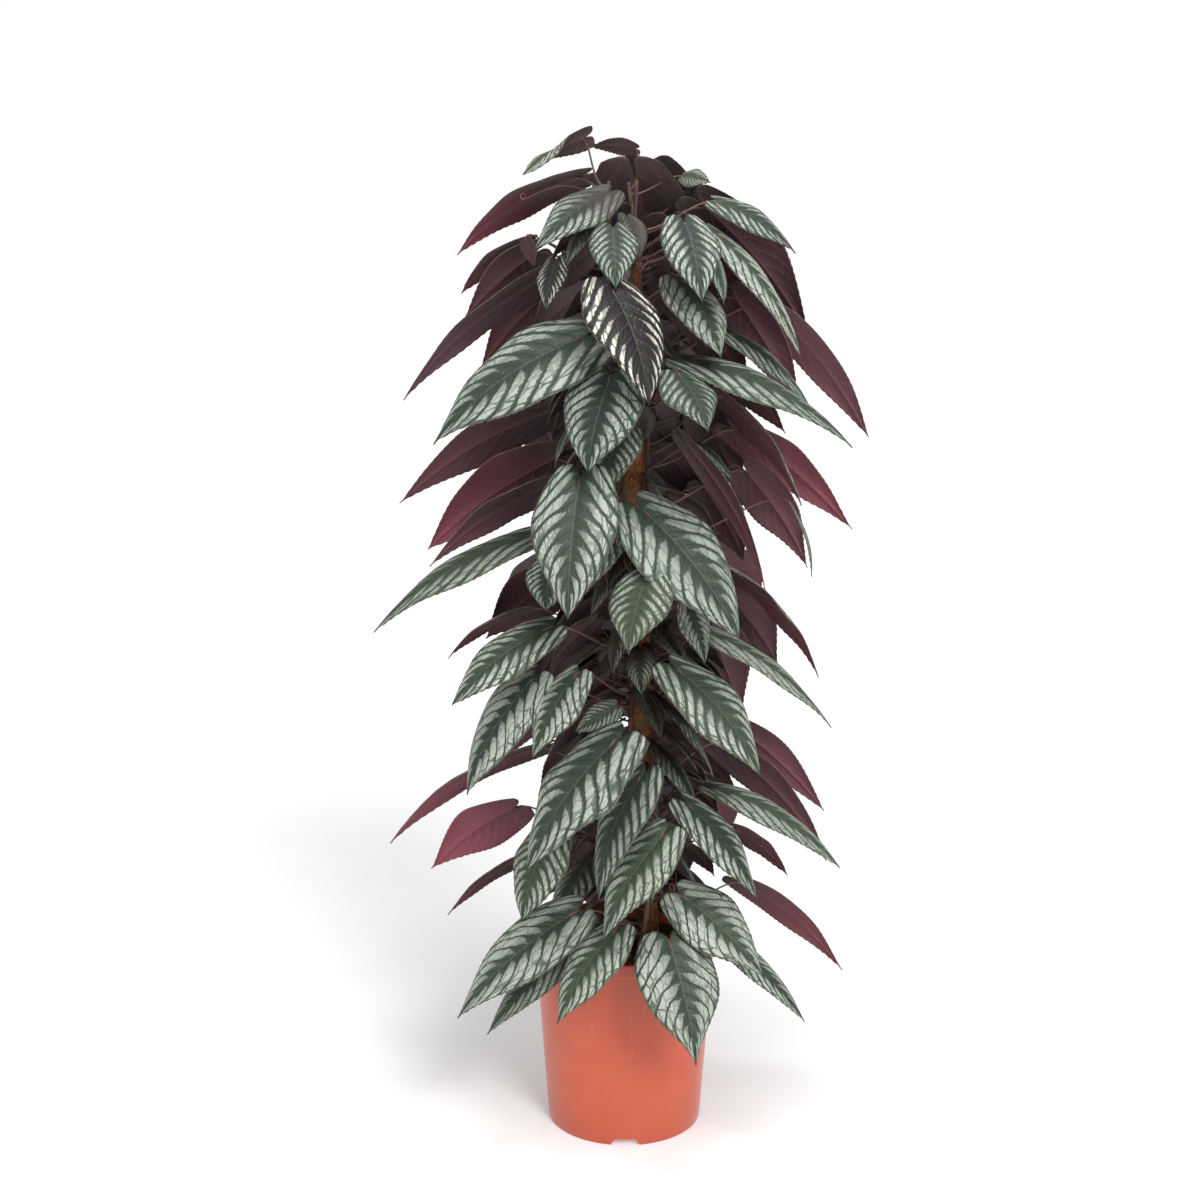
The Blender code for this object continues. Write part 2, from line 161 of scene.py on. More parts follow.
# Base of the blade, tip, width, degrees by which the upper face turns to the front, and where
# they differ from the usual: how far the lobes reach back, and degrees of twist.
LEAVES = {"crown": [
    ((-3.7, -0.4, 90.2), (-8.9, -2.9, 86.9), 3.6, -25, 0.13, 100),
    ((-4.3, 2.9, 87.1), (-15.4, 6.0, 80.6), 5.5, -18),
    ((-1.8, -3.0, 85.4), (-7.9, -6.5, 80.5), 5.0, 30),
    ((1.0, 3.4, 86.5), (2.5, 9.2, 76.2), 9.6, 0, 0.26),
    ((8.1, -0.8, 84.7), (14.8, -1.6, 80.5), 4.2, 30),
    ((7.0, 2.6, 84.5), (17.2, 7.5, 73.0), 6.6, -40),
    ((4.8, -6.5, 82.8), (6.1, -11.0, 76.3), 5.0, 5),
    ((-1.3, -9.5, 77.3), (1.7, -14.0, 68.1), 7.3, 0),
    ((7.9, -2.5, 81.8), (15.0, -5.5, 71.5), 4.6, 10),
], "upper": [
    ((12.7, 2.5, 75.7), (22.7, 6.5, 63.9), 4.6, -25),
    ((5.6, -5.0, 71.2), (19.3, -8.0, 64.4), 6.5, 15),
    ((-3.8, -6.0, 73.3), (-16.6, -8.5, 64.7), 9.2, 35),
    ((-1.5, -9.5, 70.0), (-3.5, -12.5, 62.5), 7.6, 5),
    ((-6.0, 2.0, 79.0), (-20.5, 5.0, 67.5), 4.8, -25),
    ((-7.0, 5.5, 66.2), (-21.2, 8.0, 57.4), 5.4, -45),
    ((-6.5, 3.5, 62.0), (-18.5, 6.5, 53.5), 7.5, -50),
    ((-8.0, -3.0, 56.0), (-22.5, -4.0, 47.5), 6.5, 15),
    ((-4.0, -10.0, 61.5), (-5.0, -14.5, 50.5), 7.4, 0),
    ((1.4, -8.0, 58.7), (9.7, -12.0, 48.5), 9.2, 25),
    ((8.5, -2.5, 68.0), (15.5, -3.0, 58.5), 5.5, -20),
    ((10.2, 3.0, 64.7), (21.4, 7.0, 55.4), 5.0, -40),
], "middle": [
    ((-6.0, 3.0, 51.5), (-13.0, 4.5, 45.0), 6.5, -50),
    ((-7.0, -6.5, 48.1), (-15.2, -9.0, 42.0), 5.8, 25),
    ((-8.4, -6.5, 43.5), (-14.3, -8.5, 33.9), 6.8, 20),
    ((7.5, -5.0, 47.5), (18.0, -7.5, 39.5), 4.2, 10),
    ((9.5, -1.0, 52.5), (18.0, 0.5, 42.5), 5.0, -10),
    ((4.4, -9.0, 45.0), (11.7, -12.0, 36.5), 7.0, 20),
], "lower": [
    ((-1.0, -11.5, 39.3), (-8.7, -15.0, 28.9), 9.6, 10),
    ((3.1, -11.5, 31.0), (-2.3, -15.0, 22.9), 6.0, 15),
    ((5.5, -8.0, 32.6), (11.5, -10.5, 24.8), 5.8, 10),
    ((8.4, -4.5, 33.1), (19.3, -7.0, 26.9), 4.6, 10),
    ((8.5, 2.0, 35.8), (19.6, 5.0, 23.7), 4.4, -45),
    ((9.6, 5.5, 36.8), (19.7, 10.0, 26.8), 4.2, -50),
    ((11.2, 1.5, 22.3), (21.0, 3.5, 12.8), 4.1, -40),
    ((-10.6, 3.5, 28.9), (-18.6, 6.0, 22.3), 6.2, -50),
    ((-8.2, 1.0, 35.5), (-22.4, 3.0, 26.1), 5.4, -25),
    ((-6.5, -7.0, 30.0), (-9.3, -9.0, 22.3), 6.2, 10),
], "skirt": [
    ((-4.8, -9.5, 23.1), (-14.9, -13.0, 15.2), 6.6, 25),
    ((-1.0, -12.0, 22.5), (-6.0, -15.5, 15.5), 5.6, 10),
    ((3.8, -12.5, 21.5), (5.9, -17.5, 12.6), 7.6, 0),
    ((8.7, -6.5, 19.6), (16.0, -9.0, 12.9), 3.2, 15),
], "back": [
    ((-1.0, 10.6, 76.8), (-5.5, 17.0, 67.5), 7.0, 0),
    ((6.0, 8.0, 72.0), (11.5, 16.0, 62.5), 7.5, 0),
    ((-5.5, 8.0, 69.0), (-9.0, 16.5, 60.0), 7.0, 0),
    ((1.5, 8.5, 62.5), (1.0, 17.5, 52.5), 8.0, 0),
    ((7.5, 8.0, 54.5), (13.5, 16.0, 46.0), 7.0, 0),
    ((-5.5, 8.0, 53.5), (-11.0, 16.5, 44.5), 7.5, 0),
    ((1.0, 8.5, 46.0), (2.0, 17.5, 36.0), 7.5, 0),
    ((-6.5, 7.5, 38.5), (-12.5, 15.5, 30.0), 7.0, 0),
    ((6.5, 7.5, 31.5), (11.0, 16.0, 22.0), 7.0, 0),
    ((-0.5, 9.0, 31.0), (-3.0, 17.0, 21.0), 7.5, 0),
]}

# Smaller leaves that have no solid of their own.
SMALL_LEAVES = {"crown": [
    ((0.8, 4.0, 89.6), (-3.2, 6.0, 89.9), 1.7, -60),
    ((-1.2, -6.5, 82.3), (-1.0, -10.0, 77.4), 4.1, 0),
    ((4.6, -5.0, 77.9), (8.0, -8.5, 71.8), 6.0, 5),
    ((5.1, 2.4, 87.1), (7.4, 1.4, 86.5), 2.5, 40),
    ((-8.7, -1.0, 81.5), (-8.0, -1.0, 79.1), 1.6, -60),
    ((-1.5, 1.5, 84.0), (-4.5, 7.0, 76.5), 7.0, 0),
    ((4.0, 0.5, 83.0), (6.5, 6.5, 74.5), 7.0, 0),
    ((2.2, 5.6, 88.6), (4.2, 11.4, 78.8), 8.2, 0, 0.06),
    ((6.5, 3.0, 81.0), (11.5, 6.5, 74.0), 5.5, -35),
    ((-8.0, 2.0, 80.5), (-14.5, 5.0, 75.0), 4.0, -50),
    ((-3.5, 4.5, 78.5), (-6.5, 7.0, 73.0), 3.5, -20),
    ((6.2, 6.0, 85.3), (10.5, 10.5, 77.0), 5.6, -30),
], "upper": [
    ((9.2, -1.0, 73.4), (16.9, -2.0, 66.5), 4.6, 15),
    ((4.4, -9.0, 70.2), (6.8, -11.5, 65.8), 6.4, 0),
    ((-8.5, 3.0, 81.5), (-15.0, 6.0, 77.0), 3.6, -20),
    ((-6.1, -4.0, 79.7), (-6.9, -5.5, 75.5), 2.8, 0),
    ((-5.5, 0.5, 60.5), (-18.0, 2.0, 52.5), 5.5, -30),
    ((-0.5, -6.0, 65.5), (-2.0, -8.0, 60.0), 5.0, 0),
    ((5.4, -6.0, 64.0), (12.2, -8.5, 52.0), 2.6, -60),
    ((11.0, 1.5, 61.0), (17.0, 4.0, 52.0), 4.8, -45),
    ((15.0, -1.0, 58.0), (16.8, -2.0, 52.0), 1.8, -20),
    ((9.8, 1.5, 76.5), (16.0, 3.5, 66.5), 4.5, -45),
    ((7.0, 3.8, 74.0), (11.5, 6.4, 68.0), 4.2, -45),
    ((7.0, 4.0, 66.0), (11.0, 7.5, 58.5), 5.0, -45),
    ((7.2, 3.2, 59.5), (11.2, 5.6, 52.0), 4.5, -45),
    ((-7.5, 6.0, 76.5), (-13.5, 8.5, 70.0), 4.2, -45),
    ((8.8, 0.8, 69.8), (14.5, 2.3, 64.4), 3.4, -35),
], "middle": [
    ((1.5, -12.0, 53.5), (0.0, -14.5, 47.5), 6.0, 0),
    ((-0.5, -6.0, 58.0), (-4.0, -8.5, 51.0), 6.0, 0),
    ((-6.5, -6.5, 54.0), (-7.0, -8.0, 50.0), 4.5, 0),
    ((-9.0, 1.0, 48.5), (-16.5, 2.0, 44.0), 4.0, -20),
    ((-4.5, -9.0, 44.4), (-8.2, -11.0, 37.6), 5.8, 10),
    ((-1.0, -6.0, 41.0), (-4.5, -7.0, 39.0), 2.5, 60),
    ((9.0, 2.5, 50.0), (14.5, 5.0, 42.5), 6.0, -50),
    ((5.5, -6.0, 50.0), (7.0, -7.0, 45.0), 3.0, 30),
    ((8.0, 2.0, 46.5), (11.2, 4.8, 38.0), 5.5, -50),
    ((-5.0, 3.0, 46.5), (-9.0, 5.5, 38.5), 4.5, -45),
], "lower": [
    ((1.2, -9.5, 35.5), (-2.8, -12.5, 25.5), 6.2, 0),
    ((10.5, 1.5, 27.5), (15.5, 3.0, 22.5), 2.6, -40),
    ((-8.5, -1.0, 26.0), (-16.5, -1.0, 20.0), 3.0, -35),
    ((3.5, 3.0, 35.8), (10.8, 5.8, 30.2), 5.2, -50),
    ((-4.0, 2.8, 35.5), (-8.2, 5.0, 28.5), 4.0, -45),
    ((-4.5, 1.5, 26.5), (-7.5, 4.0, 19.8), 4.5, -35),
], "skirt": [
    ((-5.5, -8.0, 19.0), (-12.4, -10.5, 12.4), 3.8, 25),
    ((5.0, -9.5, 24.7), (12.0, -12.5, 18.5), 6.2, 32),
]}

# Seeded leaves that fill the sides, the back and the pole.
FILL_SEED = 4
# Leaves wanted, tries, azimuths, distance of the base from the pole, reach, furthest tip.
FILL_ZONES = [
    (80, 3000, (-40, 220), (0.030, 0.085), (0.060, 0.095), 0.165),
    (130, 6000, (-35, 215), (0.018, 0.050), (0.040, 0.070), 0.105),
    (24, 900, (215, 325), (0.014, 0.035), (0.035, 0.055), 0.080),
]
FILL_SIDE_REACH = 0.090  # how far they may stand out to the left and right
FILL_LOWEST = 0.115  # and how low their tips may hang


def heading(angle):
    """The level direction at an angle round the plant."""
    return Vector((math.cos(angle), math.sin(angle), 0.0))


def pole_point(z):
    """The middle of the leaning pole at a height."""
    return POLE_FOOT.lerp(POLE_TOP, (z - POLE_FOOT.z) / (POLE_TOP.z - POLE_FOOT.z))


def stem_point(index, z):
    """The middle of a vine stem at a height: upright in the soil, then winding up the pole."""
    turn = STEM_TURNS * (z - SOIL_TOP) / (STEM_TOP - SOIL_TOP)
    angle = STEM_START_ANGLE + TURN * (index / STEM_COUNT + max(turn, 0.0))
    near = SLEEVE_RADIUS + STEM_RADIUS + TOUCH
    climb = min(max((z - SOIL_TOP) / (STEM_MEETS_POLE - SOIL_TOP), 0.0), 1.0)
    reach = STEM_ROOT_RADIUS + (near - STEM_ROOT_RADIUS) * climb * climb * (3 - 2 * climb)
    return pole_point(z) + reach * heading(angle)


def stem_radius(z):
    share = min(max(z / STEM_TOP, 0.0), 1.0)
    return STEM_RADIUS + (STEM_TIP_RADIUS - STEM_RADIUS) * share


class Leaf:
    """One blade and its stalk, given in cm and kept in metres, with small seeded differences."""

    def __init__(self, name, base, tip, width, roll, lobe=BLADE_LOBE, twist=None):
        rng = random.Random(name)
        self.name = name
        self.base = np.array(base) / 100
        self.width = width / 100
        self.roll = roll
        self.lobe = lobe
        self.twist = rng.uniform(-14, 14) if twist is None else twist
        chord = np.array(tip) / 100 - self.base
        self.length = float(np.linalg.norm(chord))
        self.along = chord / self.length
        up = np.array((0.0, 0.0, 1.0)) - self.along[2] * self.along
        self.up = up / np.linalg.norm(up)
        self.front = np.cross(self.along, self.up)
        if self.front[1] > 0:
            self.front = -self.front
        self.face, self.across = self.turned(roll)
        self.sickle = rng.uniform(-0.012, 0.012)
        self.curl = rng.uniform(0.00, 0.05)
        self.wave = rng.uniform(0.03, 0.07)
        self.waves = rng.uniform(1.3, 2.4)
        self.start = rng.uniform(0, TURN)
        self.taper = rng.uniform(1.02, 1.40)
        self.looks = {"seed": rng.uniform(0, 50)}
        for key in LOOKS:
            self.looks[key] = rng.random()
        self.looks["plum"] = 0.0
        for key, value in zip(LOOKS, SPECIAL_LOOKS.get(name, ())):
            if value is not None:
                self.looks[key] = value

    def turned(self, degrees):
        """The upward and sideways directions of a blade rolled towards the front."""
        turn = np.radians(degrees)[..., None]
        face = np.cos(turn) * self.up + np.sin(turn) * self.front
        return face, np.cross(self.along, face)

    def surface(self, share, side, relief=0.0):
        """Points of the upper face; share runs from base to tip, side from -1 to 1."""
        low = share < BLADE_WIDEST
        base_round = 1 - np.where(low, (BLADE_WIDEST - share) / BLADE_ROUND, 0.0) ** 2
        narrowing = np.clip((share - BLADE_WIDEST) / (1 - BLADE_WIDEST), 0, 1)
        shape = np.where(low, np.sqrt(base_round),
                         np.cos(math.pi / 2 * narrowing) ** self.taper)
        half = np.maximum(self.width / 2 * shape, TIP_HALF_WIDTH)
        away = np.abs(side)
        lobe = self.lobe * np.sin(2.1 * away ** (LOBE_GAP / self.lobe))
        place = share - lobe * np.clip(1 - share / BLADE_WIDEST, 0, 1) ** 2
        rise = BLADE_ARCH * self.length * 4 * place * (1 - place)
        rise = rise - self.curl * self.length * share ** 3
        rise = rise + half * (BLADE_FOLD * away - BLADE_DROOP * side * side)
        ripple = np.sin(TURN * self.waves * share + self.start + 1.9 * (side > 0))
        rise = rise + self.wave * half * ripple * away ** 2 + relief
        sideways = half * side + self.sickle * self.length * 4 * share * (1 - share)
        face, across = self.turned(self.roll + self.twist * (share - 0.3))
        return (self.base + (place * self.length)[..., None] * self.along
                + rise[..., None] * face + sideways[..., None] * across)

    def stalk(self, points):
        """The stalk's path: square off the nearest stem, outwards, then under the blade."""
        base = Vector(self.base)
        face = Vector(self.face)
        reach = (base.xy - pole_point(base.z).xy).length
        height = min(base.z - STALK_RISE * reach, STEM_TOP - 2 * STEM_RADIUS)
        centre = pole_point(height)
        outward = base.xy - centre.xy
        nearest = max(range(STEM_COUNT),
                      key=lambda index: (stem_point(index, height) - centre).xy.dot(outward))
        stem = stem_point(nearest, height)
        climb = (stem_point(nearest, height + 0.001) - stem).normalized()
        away = (base - stem - climb * (base - stem).dot(climb)).normalized()
        start = stem + away * (stem_radius(height) - STALK_SUNK)
        end = Vector(self.surface(np.array(0.06), np.array(0.0))) - face * STALK_UNDER
        span = (end - start).length
        leave = start + away * span * STALK_LEAVE
        arrive = end - (Vector(self.along) - 0.13 * face).normalized() * span * STALK_ARRIVE
        t = np.linspace(0, 1, points)[:, None]
        return ((1 - t) ** 3 * start + 3 * (1 - t) ** 2 * t * leave
                + 3 * (1 - t) * t * t * arrive + t ** 3 * end)


# ---- materials

def linear(shade):
    """A 0-255 display value as linear light."""
    return ((shade / 255 + 0.055) / 1.055) ** 2.4 if shade > 10 else shade / 255 / 12.92


class Value:
    """What a node gives out. Sums and products with it make further nodes."""

    def __init__(self, paint, socket):
        self.paint = paint
        self.socket = socket

    def __add__(self, other):
        return self.paint.math("ADD", self, other)

    def __sub__(self, other):
        return self.paint.math("SUBTRACT", self, other)

    def __rsub__(self, other):
        return self.paint.math("SUBTRACT", other, self)

    def __mul__(self, other):
        return self.paint.math("MULTIPLY", self, other)

    __radd__ = __add__
    __rmul__ = __mul__


class Paint:
    """Short-hand for building a node tree. Colours are 0-255 display values."""

    def __init__(self, name, library=bpy.data.materials, shader="Principled BSDF"):
        self.made = library.new(name)
        self.made.use_nodes = True
        self.nodes = self.made.node_tree.nodes
        self.links = self.made.node_tree.links
        self.shader = self.nodes[shader]

    def put(self, socket, value):
        """Set a socket to a number, vector or colour, or link a value to it."""
        if isinstance(value, Value):
            self.links.new(value.socket, socket)
        elif socket.type == "RGBA":
            socket.default_value = (*map(linear, value), 1.0)
        else:
            socket.default_value = value

    def node(self, kind, inputs, output=0, **settings):
        """What a new node gives out; its inputs are named or numbered."""
        node = self.nodes.new("ShaderNode" + kind)
        for key, value in settings.items():
            setattr(node, key, value)
        for key, value in inputs.items():
            self.put(node.inputs[key], value)
        return Value(self, node.outputs[output])

    def math(self, operation, *values):
        return self.node("Math", dict(enumerate(values)), operation=operation)

    def smooth(self, value, low, high):
        """A soft step from 0 at low to 1 at high, flat beyond them."""
        inputs = {0: value, 1: low, 2: high}
        return self.node("MapRange", inputs, interpolation_type="SMOOTHSTEP")

    def scaled(self, value, low, high):
        """Map 0-1 to low-high."""
        return value * (high - low) + low

    def mix(self, share, first, second):
        inputs = {"Factor": share, "A": first, "B": second}
        return self.node("Mix", inputs, "Result", data_type="RGBA")

    def vector(self, x, y, z):
        return self.node("CombineXYZ", {0: x, 1: y, 2: z})

    def split(self, vector):
        """The three lengths in a vector."""
        node = self.nodes.new("ShaderNodeSeparateXYZ")
        self.put(node.inputs[0], vector)
        return [Value(self, output) for output in node.outputs]

    def noise(self, vector, scale, detail=3.0, roughness=0.5):
        inputs = {"Vector": vector, "Scale": scale, "Detail": detail, "Roughness": roughness}
        return self.node("TexNoise", inputs)

    def cells(self, vector, scale, feature="F1"):
        return self.node("TexVoronoi", {"Vector": vector, "Scale": scale}, feature=feature)

    def place(self):
        """Object coordinates, which are metres here."""
        return self.node("TexCoord", {}, "Object")

    def stretched(self, level, upright):
        """The place scaled by one number sideways and another upwards."""
        return self.node("Mapping", {"Vector": self.place(), "Scale": (level, level, upright)})

    def pole_distance(self):
        """Distance from the plant's upright middle line, in metres."""
        return self.node("VectorMath", {0: self.stretched(1.0, 0.0)}, "Value", operation="LENGTH")

    def stored(self, name):
        """A number kept with the mesh."""
        return self.node("Attribute", {}, "Fac", attribute_name=name)

    def bump(self, height, distance, strength=1.0):
        inputs = {"Strength": strength, "Distance": distance, "Height": height}
        self.put(self.shader.inputs["Normal"], self.node("Bump", inputs))

    def finish(self, colour, roughness, **others):
        """Fill in the shader and give the material."""
        for name, value in {"Base_Color": colour, "Roughness": roughness, **others}.items():
            self.put(self.shader.inputs[name.replace("_", " ")], value)
        return self.made


class LeafPaint(Paint):
    """Knows where a point of a blade lies between its midrib, lateral veins and cross-veins.
    Both faces share this layout."""

    def __init__(self, name):
        super().__init__(name)
        seed = self.stored("seed")
        self.share, across, _ = self.split(self.node("UVMap", {}, uv_map="blade"))
        self.away = self.math("ABSOLUTE", 2.0 * across - 1.0)
        side = self.math("GREATER_THAN", across, 0.5)
        place = self.vector(self.share, across, seed)
        self.wobble = self.noise(place, 7.0, 2.0)
        self.grain = self.noise(place, 60.0, 3.0, 0.6)
        slant = self.away * (VEIN_CURVE * self.away + VEIN_SLANT)
        phase = VEIN_PAIRS * (self.share - slant) + 0.40 * self.wobble + VEIN_OFFSET * side
        self.near_vein = 2.0 * self.math("ABSOLUTE", self.math("FRACT", phase) - 0.5)
        cell_place = self.vector(phase, 5.5 * self.away, 9.0 * side + seed)
        self.net = self.cells(cell_place, 1.0, "DISTANCE_TO_EDGE")
        panel = self.vector(self.math("FLOOR", phase), side, seed)
        self.chance = self.node("TexWhiteNoise", {"Vector": panel}, "Value")
        self.beads = self.math("PINGPONG", 12.0 * self.away + self.wobble, 0.5)


def make_leaf_upper():
    """Dark green; between the lateral veins, silver panels that start as points near the
    midrib, widen, and break up into cells towards the margin. Near the pole the face is
    darkened with painted shade."""
    paint = LeafPaint("leaf_upper")
    mix, smooth, scaled = paint.mix, paint.smooth, paint.scaled
    away, grain, near_vein = paint.away, paint.grain, paint.near_vein
    silver, spread, olive, plum = (paint.stored(key) for key in LOOKS)
    past_start = away - (0.20 * paint.chance + 0.10 - 0.08 * spread + 0.16 * plum)
    opening = smooth(past_start, -0.05, 0.28) * scaled(spread, 0.50, 0.86)
    opening -= 0.10 * smooth(away, 0.80, 1.0)
    uneven = near_vein + 0.26 * (grain + paint.beads) - 0.19
    crossed = smooth(paint.net, 0.015, 0.12)
    outer = smooth(away, 0.45, 0.80)
    panel = smooth(opening - uneven, -0.06, 0.10)
    panel *= 1.0 - (1.0 - crossed) * scaled(outer, 0.38, 0.92)
    panel *= smooth(away, 0.985, 0.93) * smooth(paint.share, 0.99, 0.93)
    middle = mix(plum, mix(olive, (38, 51, 46), (56, 69, 50)), (32, 27, 29))
    green = mix(plum, mix(olive, (62, 77, 70), (76, 87, 67)), (36, 36, 31))
    green = mix(smooth(away, 0.10, 0.70), middle, green)
    green = mix(0.5 * paint.wobble, green, middle)
    vein = smooth(near_vein, 0.86, 0.96)
    green = mix(vein * scaled(outer, 0.35, 0.85), green, (30, 38, 32))
    bright = mix(silver, (144, 151, 142), (184, 188, 175))
    bright = mix(smooth(grain, 0.35, 0.75), bright, (134, 144, 132))
    bright = mix(plum, bright, (206, 204, 190))
    opened = smooth(past_start, 0.0, 0.42)
    colour = mix(panel * scaled(opened, 0.35, 0.95), green, bright)
    rim = smooth(away, 0.975, 0.995) * smooth(grain, 0.35, 0.60)
    colour = mix(0.6 * rim, colour, (150, 128, 112))
    rib = smooth(away, 0.030, 0.008)
    colour = mix(0.35 * rib, colour, (100, 116, 92))
    # painted shade: the face darkens near the pole, deep inside the plant
    colour = mix(0.80 * smooth(paint.pole_distance(), 0.085, 0.040), colour, (62, 54, 48))
    puffed = smooth(near_vein, 0.99, 0.80)
    paint.bump(0.35 * (crossed + panel) + 0.6 * puffed + 0.25 * grain, 0.0007, 0.8)
    return paint.finish(colour, scaled(grain, 0.38, 0.58), Specular_IOR_Level=0.28)


def make_leaf_under():
    """Wine red, with the veins only just paler. Painted shade makes it darker and duller inside
    the plant, and painted backlight makes the outer leaves a brighter crimson.
    """
    paint = LeafPaint("leaf_under")
    mix, smooth, grain = paint.mix, paint.smooth, paint.grain
    from_pole = paint.pole_distance()
    bright = paint.stored("silver")
    # painted shade: dark, dull wine red deep inside the plant; right by the pole it is lightened
    # again, painted light that lifts the deepest shade
    inner = mix(paint.wobble, (40, 33, 35), (49, 41, 43))
    inner = mix(smooth(from_pole, 0.10, 0.05), inner, (78, 67, 68))
    # painted backlight: the outer leaves a brighter crimson, as if lit through; the silver number
    # sets how bright
    outer = mix(bright, (109, 64, 72), (150, 80, 93))
    outer = mix(paint.stored("olive"), outer, (106, 80, 88))
    # how far a point has gone from the painted shade inside to the painted backlight outside
    painted_lit_share = smooth(0.03 * bright + from_pole, 0.09, 0.22)
    colour = mix(painted_lit_share, inner, outer)
    colour = mix(0.25 * grain, colour, (98, 51, 60))
    vein = smooth(paint.near_vein, 0.88, 0.98)
    for other in (smooth(paint.away, 0.05, 0.02), 0.35 * smooth(paint.net, 0.05, 0.0)):
        vein = paint.math("MAXIMUM", vein, other)
    colour = mix(0.28 * vein, colour, (150, 84, 88))
    paint.bump(0.15 * grain + vein, 0.0006, 0.8)
    return paint.finish(colour, paint.scaled(grain, 0.45, 0.65), Specular_IOR_Level=0.25)


def make_stalk():
    """Pink-red leaf stalks and young shoots, greener in streaks, with painted shade darkening
    them near the pole.
    """
    paint = Paint("stalk")
    streak = paint.noise(paint.stretched(1.0, 0.25), 260.0)
    colour = paint.mix(paint.smooth(streak, 0.35, 0.7), (112, 66, 64), (102, 84, 64))
    # painted shade: stalks darker near the pole, deep inside the plant
    inner = paint.smooth(paint.pole_distance(), 0.10, 0.04)
    colour = paint.mix(0.75 * inner, colour, (84, 60, 54))
    paint.bump(streak, 0.0002)
    return paint.finish(colour, paint.scaled(streak, 0.40, 0.60), Specular_IOR_Level=0.4)


def make_bark():
    """Reddish-brown vine bark, ridged lengthwise, with pale pores; paler low down."""
    paint = Paint("bark")
    ridges = paint.noise(paint.stretched(1.0, 0.08), 900.0, 4.0)
    blotch = paint.noise(paint.place(), 60.0)
    pores = paint.cells(paint.place(), 420.0)
    colour = paint.mix(paint.smooth(blotch, 0.35, 0.65), (82, 54, 45), (88, 73, 54))
    colour = paint.mix(paint.smooth(ridges, 0.55, 0.40), colour, (54, 35, 32))
    _, _, height = paint.split(paint.place())
    old = paint.mix(ridges, (116, 84, 66), (164, 130, 104))
    colour = paint.mix(0.75 * paint.smooth(height, 0.42, 0.22), colour, old)
    colour = paint.mix(paint.smooth(pores, 0.14, 0.08), colour, (140, 116, 92))
    paint.bump(ridges, 0.0006)
    return paint.finish(colour, paint.scaled(ridges, 0.55, 0.80))


def make_coir():
    """Matted orange-brown coconut fibre."""
    paint = Paint("coir")
    strands = paint.noise(paint.stretched(1.0, 0.35), 700.0, 6.0, 0.7)
    patches = paint.noise(paint.place(), 45.0)
    colour = paint.mix(paint.smooth(strands, 0.35, 0.68), (84, 52, 33), (174, 112, 68))
    colour = paint.mix(paint.smooth(patches, 0.52, 0.70), colour, (104, 94, 54))
    paint.bump(strands, 0.0014)
    return paint.finish(colour, paint.scaled(strands, 0.80, 0.98))


def make_earth():
    """Dark peat with paler fibres and grains."""
    paint = Paint("earth")
    coarse = paint.noise(paint.place(), 140.0, 5.0, 0.65)
    grains = paint.cells(paint.place(), 520.0)
    colour = paint.mix(coarse, (34, 24, 18), (86, 62, 44))
    colour = paint.mix(paint.smooth(grains, 0.16, 0.08), colour, (142, 118, 92))
    paint.bump(coarse, 0.003)
    return paint.finish(colour, paint.scaled(coarse, 0.85, 1.0), Specular_IOR_Level=0.2)


def make_wood():
    """Pale stake wood with grain along its length."""
    paint = Paint("stake_wood")
    grain = paint.noise(paint.stretched(1.0, 0.04), 500.0, 4.0)
    colour = paint.mix(grain, (132, 98, 62), (196, 162, 112))
    paint.bump(grain, 0.0004)
    return paint.finish(colour, paint.scaled(grain, 0.60, 0.80))


def make_terracotta():
    """Thin terracotta-coloured plastic: satin, faintly mottled, scuffed, dusty low down, and
    with painted shade making it darker towards the rim, under the leaves."""
    paint = Paint("terracotta_plastic")
    mix, smooth = paint.mix, paint.smooth
    mottle = paint.noise(paint.place(), 22.0, 4.0)
    fine = paint.noise(paint.place(), 900.0, 2.0)
    rings = paint.noise(paint.stretched(0.15, 1.0), 260.0, 3.0)
    scuff = paint.noise(paint.stretched(1.0, 0.2), 120.0, 6.0, 0.7)
    _, _, height = paint.split(paint.place())
    colour = mix(smooth(mottle, 0.3, 0.7), (181, 75, 46), (189, 82, 52))
    colour = mix(0.35 * smooth(scuff, 0.60, 0.78), colour, (214, 134, 108))
    # painted shade: darker towards the rim, where the leaves shade the pot
    colour = mix(0.45 * smooth(height, 0.10, 0.165), colour, (146, 60, 38))
    dust = smooth(height, 0.05, 0.0) * smooth(mottle, 0.35, 0.75)
    colour = mix(0.30 * dust, colour, (164, 84, 60))
    paint.bump(0.5 * rings + 0.35 * fine, 0.00025, 0.6)
    roughness = 0.20 * scuff + paint.scaled(fine, 0.34, 0.42)
    return paint.finish(colour, roughness, Specular_IOR_Level=0.55, Sheen_Weight=0.40,
                        Sheen_Roughness=0.35)


# ---- mesh helpers


def add_object(name, data):
    """A new object in the scene."""
    added = bpy.data.objects.new(name, data)
    bpy.context.scene.collection.objects.link(added)
    return added


def add_piece(mesh, slot, *nodes):
    """A mesh as a piece that rides on the root and stands for its CAD nodes."""
    piece = add_object(mesh.name, mesh)
    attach(piece, "root")
    if nodes:
        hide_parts(*nodes)
    return piece


def mesh_from(name, vertices, faces, materials, face_materials=None):
    mesh = bpy.data.meshes.new(name)
    mesh.from_pydata([tuple(v) for v in vertices], [], faces)
    for material in materials:
        mesh.materials.append(material)
    if face_materials:
        mesh.polygons.foreach_set("material_index", face_materials)
    mesh.shade_smooth()
    return mesh


def tube_faces(rings, sides, first=0):
    """Faces of a closed tube whose points come ring by ring."""
    faces = []
    for ring in range(rings - 1):
        for side in range(sides):
            a = first + ring * sides + side
            b = first + ring * sides + (side + 1) % sides
            faces.append((a, b, b + sides, a + sides))
    last = first + (rings - 1) * sides
    faces.append(tuple(range(first + sides - 1, first - 1, -1)))
    faces.append(tuple(range(last, last + sides)))
    return faces


